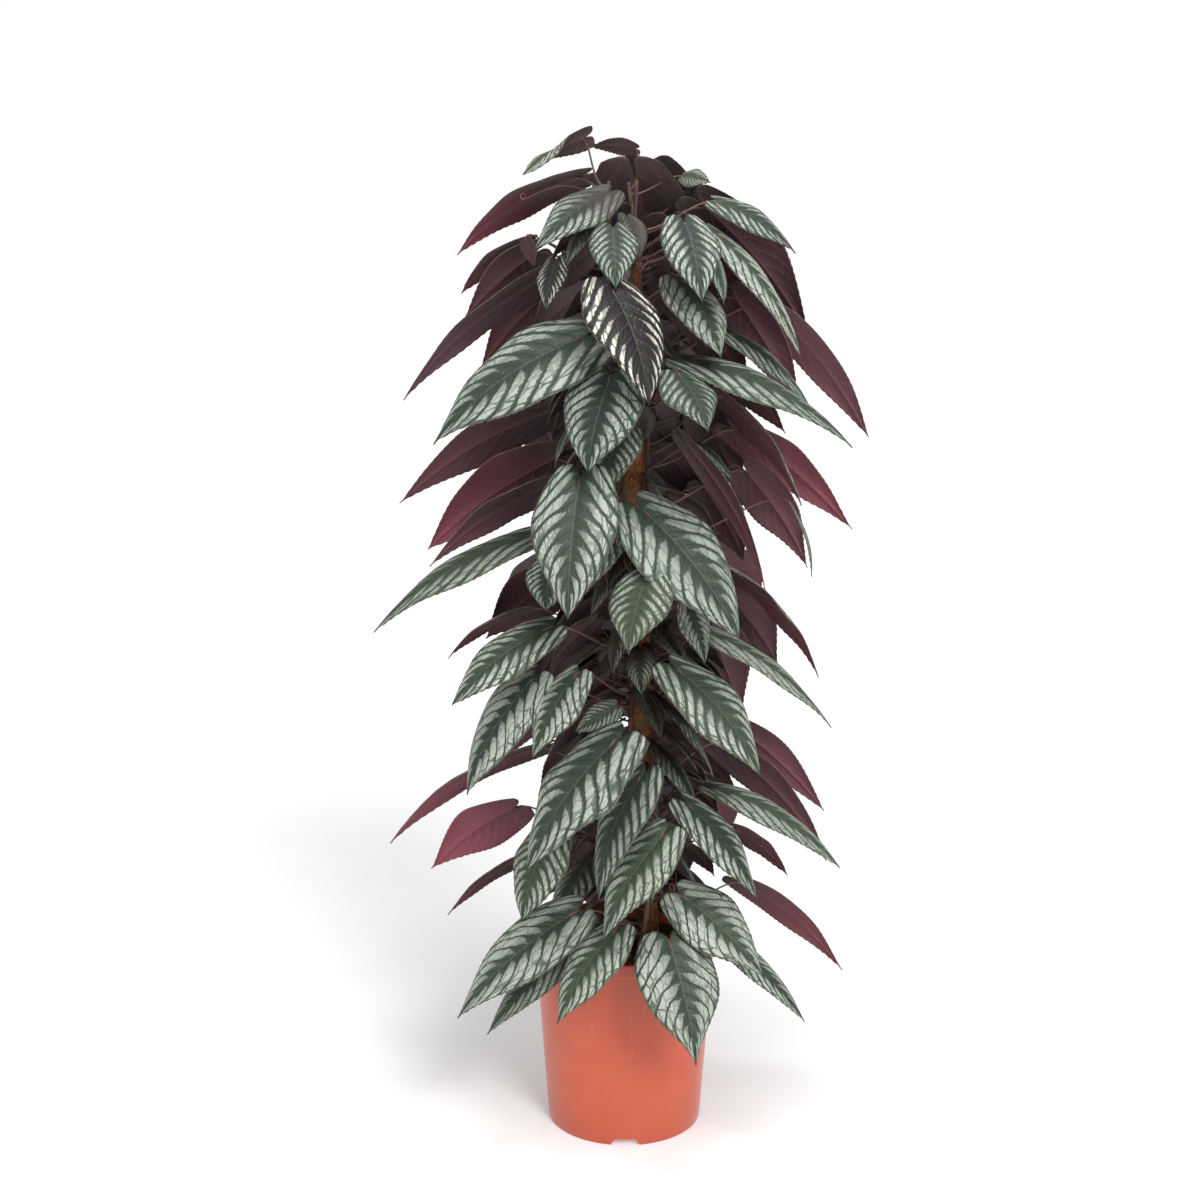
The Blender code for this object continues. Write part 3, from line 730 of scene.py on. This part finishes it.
def tube_parts(path, radii, sides, first=0):
    """Vertices and faces of a closed round tube along a path."""
    path = [Vector(point) for point in path]
    count = len(path)
    tangents = [(path[min(i + 1, count - 1)] - path[max(i - 1, 0)]).normalized()
                for i in range(count)]
    normal = tangents[0].orthogonal().normalized()
    vertices = []
    for point, tangent, radius in zip(path, tangents, radii):
        normal = (normal - tangent * normal.dot(tangent)).normalized()
        across = tangent.cross(normal)
        for side in range(sides):
            angle = TURN * side / sides
            vertices.append(point + radius * (math.cos(angle) * normal + math.sin(angle) * across))
    return vertices, tube_faces(count, sides, first)


def turned_parts(outline, steps, wobble=None):
    """Vertices and faces of a solid of revolution, from a closed outline of (radius, z)."""
    vertices, rings, faces = [], [], []
    for radius, z in outline:
        if radius == 0.0:
            rings.append([len(vertices)] * steps)
            vertices.append((0.0, 0.0, z))
            continue
        rings.append(range(len(vertices), len(vertices) + steps))
        for step in range(steps):
            angle = TURN * step / steps
            lift = wobble(radius, angle, z) if wobble else 0.0
            vertices.append((radius * math.cos(angle), radius * math.sin(angle), z + lift))
    for above, below in zip(rings, rings[1:] + rings[:1]):
        for step in range(steps):
            after = (step + 1) % steps
            corners = tuple(dict.fromkeys((above[step], below[step], below[after], above[after])))
            if len(corners) > 2:
                faces.append(corners)
    return vertices, faces


def grid_faces(rows, columns):
    """The numbers of a grid's points, and its four-cornered faces."""
    index = np.arange(rows * columns).reshape(rows, columns)
    quads = np.stack([index[:-1, :-1], index[1:, :-1], index[1:, 1:], index[:-1, 1:]], axis=-1)
    return index, quads.reshape(-1, 4)


# ---- leaves

STALK = make_stalk()
LEAF_MATERIALS = [make_leaf_upper(), make_leaf_under(), STALK]


def blade_cells(leaf):
    """Cells along and across a blade, fewer on a small one, and even in number."""
    scale = min(max(leaf.length / 0.12, 0.54), 1.0)
    return [int(cells * scale) // 2 * 2 for cells in BLADE_CELLS]


def quilting(leaf, share, side):
    """Raised panels between the lateral veins, and a groove at the midrib."""
    away = np.abs(side)
    slant = away * (VEIN_CURVE * away + VEIN_SLANT)
    # a whole number at each lateral vein, as in the leaf materials
    phase = (share - slant) * VEIN_PAIRS + 0.20 + VEIN_OFFSET * (side > 0)
    puff = np.abs(np.sin(math.pi * phase)) ** 0.7
    inner = np.clip((away - 0.04) / 0.22, 0, 1)
    outer = np.clip((1.0 - away) / 0.16, 0, 1)
    fade = np.clip((1 - share) / 0.12, 0, 1)
    groove = -0.5 * np.clip(1 - away / 0.10, 0, 1)
    return QUILT_RISE * leaf.width * (puff * inner * outer * fade + groove)


def build_leaf(leaf, *nodes):
    """A thin closed blade with quilting, teeth and midrib, and its stalk, in one mesh."""
    along, across = blade_cells(leaf)
    ease = np.linspace(0, 1, along + 1)
    share, side = np.meshgrid(0.55 * ease + 0.45 * ease ** 1.8, np.linspace(-1, 1, across + 1),
                              indexing="ij")
    top = leaf.surface(share, side, quilting(leaf, share, side))
    # teeth: every second point of the margin stands out
    for column, inward in ((0, 1), (across, across - 1)):
        outward = top[1:-2:2, column] - top[1:-2:2, inward]
        outward /= np.linalg.norm(outward, axis=1)[:, None]
        top[1:-2:2, column] += outward * TOOTH_OUT + leaf.along * TOOTH_DOWN
    normal = np.cross(np.gradient(top, axis=0), np.gradient(top, axis=1))
    normal /= np.linalg.norm(normal, axis=2)[:, :, None]
    if (normal[along // 2, across // 2] * leaf.face).sum() < 0:
        normal = -normal
    rib = np.exp(-(side * 11) ** 2) * MIDRIB_HEIGHT * (1 - 0.75 * share)
    bottom = top - normal * (BLADE_THICKNESS + rib)[:, :, None]
    index, quads = grid_faces(along + 1, across + 1)
    size = index.size
    ring = np.concatenate([index[:, 0], index[-1, 1:], index[-2::-1, -1], index[0, -2:0:-1]])
    after = np.roll(ring, -1)
    if np.dot(np.cross(top[1, 0] - top[0, 0], top[1, 1] - top[0, 0]), normal[0, 0]) < 0:
        quads = quads[:, ::-1]
    else:
        ring, after = after, ring
    rim = np.stack([ring, after, after + size, ring + size], axis=-1)
    thick = 0.00085 + 0.0045 * leaf.width
    radii = [thick * (1 - 0.25 * step / (STALK_POINTS - 1)) for step in range(STALK_POINTS)]
    radii[0] *= 1.25
    tube, stalk_faces = tube_parts(leaf.stalk(STALK_POINTS), radii, 8, 2 * size)
    vertices = np.concatenate([top.reshape(-1, 3), bottom.reshape(-1, 3), np.array(tube)])
    faces = np.concatenate([quads, quads[:, ::-1] + size, rim]).tolist() + stalk_faces
    slots = [0] * len(quads) + [1] * len(quads) + [0] * len(rim) + [2] * len(stalk_faces)
    mesh = mesh_from(leaf.name + "_look", vertices, faces, LEAF_MATERIALS, slots)
    uv = np.stack([share.ravel(), side.ravel() / 2 + 0.5], axis=1)
    spots = np.concatenate([uv, uv, np.full((len(tube), 2), 0.5)])
    loops = np.zeros(len(mesh.loops), dtype=np.int32)
    mesh.loops.foreach_get("vertex_index", loops)
    mesh.uv_layers.new(name="blade").data.foreach_set("uv", spots[loops].ravel())
    for key, value in leaf.looks.items():
        layer = mesh.attributes.new(key, "FLOAT", "POINT")
        layer.data.foreach_set("value", np.full(len(vertices), value, dtype=np.float32))
    add_piece(mesh, "leaf", *nodes)


def coarse_tree(leaf):
    """A light search tree of a blade, to tell whether two leaves touch."""
    rows, columns = 9, 7
    share, side = np.meshgrid(np.linspace(0, 1, rows), np.linspace(-1.08, 1.08, columns),
                              indexing="ij")
    inside = np.clip(side, -1, 1)
    points = leaf.surface(share, inside)
    points = points + (side - inside)[..., None] * leaf.across * leaf.width / 2
    _, quads = grid_faces(rows, columns)
    return BVHTree.FromPolygons(points.reshape(-1, 3).tolist(), quads.tolist())


def stalk_tree(leaf):
    vertices, faces = tube_parts(leaf.stalk(7), [0.0014] * 7, 4)
    return BVHTree.FromPolygons([tuple(v) for v in vertices], faces)


def node_tree(name):
    """A search tree of a CAD node."""
    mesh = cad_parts[name].data
    return BVHTree.FromPolygons([vertex.co for vertex in mesh.vertices],
                                [tuple(face.vertices) for face in mesh.polygons])


def random_leaf(rng, name, angles, near, reach, furthest):
    """A leaf that hangs outwards from the pole, or None if it reaches too far or too low."""
    angle = math.radians(rng.uniform(*angles))
    height = rng.uniform(0.17, 0.84)
    swing = math.radians(rng.uniform(-28, 28))
    centre = pole_point(height)
    base = centre + rng.uniform(*near) * heading(angle)
    out = rng.uniform(*reach) * (0.85 if height > 0.75 else 1.0)
    tip = base + out * heading(angle + swing)
    tip.z -= rng.uniform(0.7, 1.2) * out
    width = rng.uniform(0.48, 0.62) * (tip - base).length
    roll = rng.uniform(-65, -15) * abs(math.cos(angle)) + rng.uniform(-15, 15)
    too_far = (tip - centre).to_2d().length > furthest or abs(tip.x - centre.x) > FILL_SIDE_REACH
    if too_far or tip.z < FILL_LOWEST or base.z < POT_HEIGHT:
        return None
    return Leaf(name, base * 100, tip * 100, width * 100, roll)


def fill_leaves(placed):
    """Seeded extra leaves, where they touch no other leaf, the pot or the soil."""
    rng = random.Random(FILL_SEED)
    taken = [(leaf, coarse_tree(leaf), stalk_tree(leaf)) for leaf in placed]
    pot, soil = node_tree("pot"), node_tree("soil")
    added = []
    for wanted, tries, *zone in FILL_ZONES:
        goal = len(added) + wanted
        for _ in range(tries):
            leaf = random_leaf(rng, f"leaf_fill_{len(added) + 1}", *zone)
            if leaf is None:
                continue
            blade, stalk = coarse_tree(leaf), stalk_tree(leaf)
            if blade.overlap(pot) or blade.overlap(soil) or stalk.overlap(pot):
                continue
            if any(blade.overlap(other) or stalk.overlap(other)
                   for neighbour, *trees in taken if abs(neighbour.base[2] - leaf.base[2]) < 0.25
                   for other in trees):
                continue
            taken.append((leaf, blade, stalk))
            added.append(leaf)
            if len(added) == goal:
                break
    return added


def make_leaves():
    placed = []
    for prefix, tiers in (("leaf_", LEAVES), ("leaf_small_", SMALL_LEAVES)):
        for tier, rows in tiers.items():
            for number, row in enumerate(rows, 1):
                leaf = Leaf(f"{prefix}{tier}_{number}", *row)
                build_leaf(leaf, *([leaf.name] if tiers is LEAVES else []))
                placed.append(leaf)
    for leaf in fill_leaves(placed):
        build_leaf(leaf)


# ---- pot, soil, pole, stems

def wall_radius(z):
    return POT_FOOT_RADIUS + (POT_NECK_RADIUS - POT_FOOT_RADIUS) * z / POT_HEIGHT


def arc(x, z, radius, start, end, steps):
    """Points of an arc in (radius, z), angles in degrees."""
    points = []
    for step in range(steps + 1):
        angle = math.radians(start + (end - start) * step / steps)
        points.append((x + radius * math.cos(angle), z + radius * math.sin(angle)))
    return points


def make_pot():
    """Tapered pot with a rounded rim band, a thin notched foot edge and drain holes."""
    rim_base = POT_HEIGHT - POT_RIM_DEPTH
    lip = 0.0015
    foot = 0.0018
    outline = arc(POT_RIM_RADIUS - lip, POT_HEIGHT - lip, lip, 90, 0, 6)
    outline += arc(POT_RIM_RADIUS - 0.0008, rim_base + 0.0008, 0.0008, 0, -80, 4)
    for step in range(13):
        z = rim_base - 0.001 - (rim_base - 0.001 - foot) * step / 12
        outline.append((wall_radius(z), z))
    outline += arc(wall_radius(0) - foot, foot, foot, -20, -90, 5)
    inner_foot = wall_radius(0) - foot - POT_WALL * 0.6
    inner_floor = wall_radius(POT_FLOOR) - POT_WALL
    outline += [
        (inner_foot, 0.0),
        (inner_foot, POT_FLOOR - POT_PLATE),
        (POT_BOSS_RADIUS + 0.001, POT_FLOOR - POT_PLATE),
        (POT_BOSS_RADIUS, 0.0),
        (0.0, 0.0),
        (0.0, POT_FLOOR),
        (inner_floor - 0.001, POT_FLOOR),
        (inner_floor, POT_FLOOR + 0.001),
        (wall_radius(rim_base) - POT_WALL, rim_base),
        (POT_RIM_RADIUS - 0.004, POT_HEIGHT - 0.002),
    ]
    outline += arc(POT_RIM_RADIUS - 0.003, POT_HEIGHT - 0.001, 0.001, 180, 90, 4)
    mesh = mesh_from("pot_look", *turned_parts(outline, 144), [make_terracotta()])
    pot = add_piece(mesh, "terracotta_plastic", "pot")
    cutters = [notch_cutter((index / NOTCH_COUNT - 0.25) * TURN)
               for index in range(NOTCH_COUNT)]
    cutters += [drain_cutter((index + 0.5) / DRAIN_COUNT * TURN)
                for index in range(DRAIN_COUNT)]
    cut(pot, cutters)
    pot.data.shade_smooth()
    pot.data.set_sharp_from_angle(angle=math.radians(40))


def cut(piece, cutters):
    """Cut the cutters out of a piece, fix the result in its mesh and drop them."""
    for cutter in cutters:
        boolean = piece.modifiers.new("cut", "BOOLEAN")
        boolean.operation = "DIFFERENCE"
        boolean.object = cutter
    graph = bpy.context.evaluated_depsgraph_get()
    piece.data = bpy.data.meshes.new_from_object(piece.evaluated_get(graph))
    piece.modifiers.clear()
    for cutter in cutters:
        bpy.data.objects.remove(cutter)


def cutter_from(bm, name):
    mesh = bpy.data.meshes.new(name)
    bm.to_mesh(mesh)
    bm.free()
    return add_object(name, mesh)


def notch_cutter(angle):
    bm = bmesh.new()
    bmesh.ops.create_cube(bm, size=1.0)
    for vert in bm.verts:
        below = vert.co.z < 0
        width = NOTCH_FOOT_WIDTH * 1.1 if below else NOTCH_TOP_WIDTH
        height = -0.1 * NOTCH_HEIGHT if below else NOTCH_HEIGHT
        vert.co = Vector((POT_FOOT_RADIUS + vert.co.x * 0.012, vert.co.y * width, height))
    bmesh.ops.rotate(bm, verts=bm.verts, matrix=Matrix.Rotation(angle, 3, "Z"))
    return cutter_from(bm, "notch")


def drain_cutter(angle):
    bm = bmesh.new()
    bmesh.ops.create_cone(bm, cap_ends=True, segments=32, radius1=DRAIN_RADIUS,
                          radius2=DRAIN_RADIUS, depth=4 * POT_PLATE)
    place = DRAIN_RING_RADIUS * heading(angle)
    place.z = POT_FLOOR - POT_PLATE / 2
    bmesh.ops.translate(bm, verts=bm.verts, vec=place)
    return cutter_from(bm, "drain")


def make_soil():
    """Crumbly peat: a filled body with an uneven top, and loose crumbs lying on it."""
    rng = random.Random(3)
    ripples = [(rng.uniform(25, 160), rng.uniform(0, 6.28), rng.uniform(0, 6.28))
               for _ in range(SOIL_RIPPLES)]

    def uneven(radius, angle, z):
        if z < SOIL_TOP - 0.004:
            return 0.0
        x, y = radius * math.cos(angle), radius * math.sin(angle)
        lift = sum(math.sin(k * (x * math.cos(a) + y * math.sin(a)) + b) / (6 + k / 8)
                   for k, a, b in ripples)
        return 0.0018 * lift

    edge = wall_radius(SOIL_TOP - 0.002) - POT_WALL - 0.0003
    floor = POT_FLOOR + 0.0003
    outline = [(0.0, SOIL_TOP - 0.0015)]
    for step in range(1, 27):
        outline.append((edge * step / 26, SOIL_TOP - 0.0015 - 0.001 * (step / 26) ** 4))
    outline += [(wall_radius(floor) - POT_WALL - 0.0018, floor), (0.0, floor)]
    vertices, faces = turned_parts(outline, 96, uneven)
    for _ in range(SOIL_CRUMBS):
        angle = rng.uniform(0, TURN)
        spot = edge * 0.97 * math.sqrt(rng.random()) * heading(angle)
        spot.z = SOIL_TOP - 0.0012
        add_crumb(vertices, faces, spot, rng.uniform(0.0010, 0.0032), rng)
    mesh = mesh_from("soil_look", vertices, faces, [make_earth()])
    add_piece(mesh, "potting_soil", "soil")


def add_crumb(vertices, faces, spot, size, rng):
    """A small lump with an uneven surface."""
    bm = bmesh.new()
    bmesh.ops.create_icosphere(bm, subdivisions=1, radius=size)
    first = len(vertices)
    for vert in bm.verts:
        vertices.append(spot + vert.co * rng.uniform(0.65, 1.25))
    for face in bm.faces:
        faces.append(tuple(first + vert.index for vert in face.verts))
    bm.free()


def make_sleeve():
    """The coir sleeve: a lumpy tube of matted fibre with loose strands standing off it."""
    rng = random.Random(11)
    low, high = POLE_FOOT.z + 0.001, POLE_TOP.z
    rings, sides = 240, 40
    vertices = []
    for ring in range(rings + 1):
        z = low + (high - low) * ring / rings
        for side in range(sides):
            angle = TURN * side / sides
            lump = math.sin(3 * angle + 40 * z) + math.sin(5 * angle - 95 * z + 1.0)
            lump += math.sin(11 * angle + 210 * z) * 0.6 + rng.uniform(-0.7, 0.7)
            radius = SLEEVE_RADIUS - 0.0005 + 0.00022 * lump
            vertices.append(pole_point(z) + radius * heading(angle))
    faces = tube_faces(rings + 1, sides)
    for _ in range(SLEEVE_STRANDS):
        add_strand(vertices, faces, rng)
    mesh = mesh_from("coir_sleeve_look", vertices, faces, [make_coir()])
    add_piece(mesh, "coir_fibre", "coir_sleeve")


def add_tube(vertices, faces, path, radii, sides):
    """Add a round tube along a path to a mesh in the making."""
    tube, its_faces = tube_parts(path, radii, sides, len(vertices))
    vertices += tube
    faces += its_faces


def add_strand(vertices, faces, rng):
    """One coconut fibre lying on the sleeve, its ends lifting off."""
    z = rng.uniform(SOIL_TOP + 0.005, POLE_TOP.z - 0.005)
    angle = rng.uniform(0, TURN)
    spin = rng.uniform(-1.6, 1.6)
    rise = rng.uniform(-0.018, 0.018)
    lift = rng.uniform(0.0003, 0.0022)
    path = []
    for step in range(6):
        t = step / 5
        height = min(max(z + rise * t, SOIL_TOP), POLE_TOP.z)
        radius = SLEEVE_RADIUS - 0.0004 + lift * (2 * t - 0.9) ** 2
        path.append(pole_point(height) + radius * heading(angle + spin * t))
    add_tube(vertices, faces, path, [0.00016] * 6, 3)


def make_stem(index, bark):
    """One vine stem, with a swollen joint every few centimetres."""
    steps = 260
    path, radii = [], []
    foot = SOIL_TOP - STEM_ROOT_DEPTH
    for step in range(steps + 1):
        z = foot + (STEM_TOP - foot) * step / steps
        path.append(stem_point(index, z))
        joint = (z / STEM_JOINT_SPACING + index * 0.37) % 1.0
        swelling = 1 + 0.32 * math.exp(-((joint - 0.5) / 0.045) ** 2)
        ridge = 1 + 0.05 * math.sin(900 * z + index)
        radii.append(stem_radius(z) * 0.88 * swelling * ridge)
    name = f"vine_stem_{index + 1}"
    mesh = mesh_from(name + "_look", *tube_parts(path, radii, 14), [bark])
    add_piece(mesh, "vine_bark", name)


def make_tendrils():
    """Hair-thin side shoots that leave a stem, reach out and end in a curl."""
    rng = random.Random(23)
    vertices, faces = [], []
    up = Vector((0.0, 0.0, 1.0))
    last = TENDRIL_POINTS - 1
    for number in range(TENDRIL_COUNT):
        z = 0.24 + 0.60 * number / (TENDRIL_COUNT - 1) + rng.uniform(-0.01, 0.01)
        stem = stem_point(number % STEM_COUNT, z)
        out = (stem - pole_point(z)).normalized()
        sideways = out.cross(up)
        reach = rng.uniform(0.035, 0.075)
        coil = rng.uniform(0.0025, 0.0050)
        turns = rng.uniform(1.2, 2.6)
        path = []
        for step in range(TENDRIL_POINTS):
            t = step / last
            straight = min(t / 0.6, 1.0)
            point = stem + out * (stem_radius(z) * 0.8 + reach * straight)
            point += up * 0.012 * math.sin(math.pi * straight)
            point += sideways * 0.006 * math.sin(2.2 * math.pi * straight)
            if t > 0.6:
                spiral = (t - 0.6) / 0.4
                angle = TURN * turns * spiral
                shrink = coil * (1 - 0.55 * spiral)
                point += out * shrink * math.sin(angle)
                point += up * (coil - shrink * math.cos(angle))
                point += sideways * 0.004 * spiral
            path.append(point)
        radii = [TENDRIL_RADIUS * (1 - 0.5 * step / last) for step in range(TENDRIL_POINTS)]
        add_tube(vertices, faces, path, radii, 6)
    add_piece(mesh_from("tendrils", vertices, faces, [STALK]), "leaf")


# ---- stage

def make_stage():
    """A wide white floor that fades into the white surroundings. It glows, more far off, and
    with extra painted light just in front of the pot that lifts the shadow there.
    """
    corners = [(x * FLOOR_REACH, y * FLOOR_REACH, 0.0)
               for x, y in ((-1, -1), (1, -1), (1, 1), (-1, 1))]
    paint = Paint("studio_white")
    paper = paint.noise(paint.place(), 3.0)
    # the floor glows, more far off, so that it stays white
    far = paint.smooth(paint.pole_distance(), 0.9, 2.0)
    _, depth, _ = paint.split(paint.place())
    # painted light: extra glow just in front of the pot, lifting the shadow there
    front_painted_light = paint.smooth(-1.0 * depth, -0.02, 0.09)
    glow = paint.scaled(far, 0.17, 0.42) + 0.18 * front_painted_light
    colour = paint.mix(paper, (226, 226, 226), (229, 229, 229))
    material = paint.finish(colour, 0.9, Emission_Color=WHITE, Emission_Strength=glow)
    mesh = mesh_from("studio_floor", corners, [(0, 1, 2, 3)], [material])
    floor = add_object("studio_floor", mesh)


def add_light(kind, name, place, height, power):
    """A light at a place, aimed at a height over the middle of the floor."""
    light = bpy.data.lights.new(name, kind)
    light.energy = power
    lamp = add_object(name, light)
    lamp.location = place
    aim = Vector((0, 0, height)) - Vector(place)
    lamp.rotation_euler = aim.to_track_quat("-Z", "Y").to_euler()
    return light


def make_lights():
    paint = Paint("studio", bpy.data.worlds, "Background")
    seen = paint.node("LightPath", {}, "Is Camera Ray")
    paint.put(paint.shader.inputs["Color"], WHITE)
    paint.put(paint.shader.inputs["Strength"], paint.scaled(seen, WORLD_LIGHT, WHITE_SEEN))
    bpy.context.scene.world = paint.made
    key = add_light("SUN", "key", (0.91, -2.25, 2.21), 0.45, 1.95)
    key.angle = math.radians(19)
    top = add_light("AREA", "top", (0.15, -0.7, 2.7), 0.30, 32)
    fill = add_light("AREA", "fill", (-1.8, -1.9, 1.4), 0.45, 8)
    for light, size in ((top, 0.9), (fill, 1.6)):
        light.shape = "DISK"
        light.size = size
    bpy.context.scene.view_settings.view_transform = "Standard"


def make_camera():
    """Eye level with the plant's top third, looking slightly down at it."""
    camera = add_object("camera", bpy.data.cameras.new("camera"))
    camera.data.lens = 53.8
    camera.location = (-0.023, -1.600, 0.780)
    camera.rotation_euler = (math.radians(90 - 10.1), 0.0, 0.0)
    bpy.context.scene.camera = camera


make_camera()
make_lights()
make_stage()
make_pot()
make_soil()
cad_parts["stake"].data.materials.clear()
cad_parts["stake"].data.materials.append(make_wood())
make_sleeve()
stem_bark = make_bark()
for stem_index in range(STEM_COUNT):
    make_stem(stem_index, stem_bark)
make_tendrils()
make_leaves()
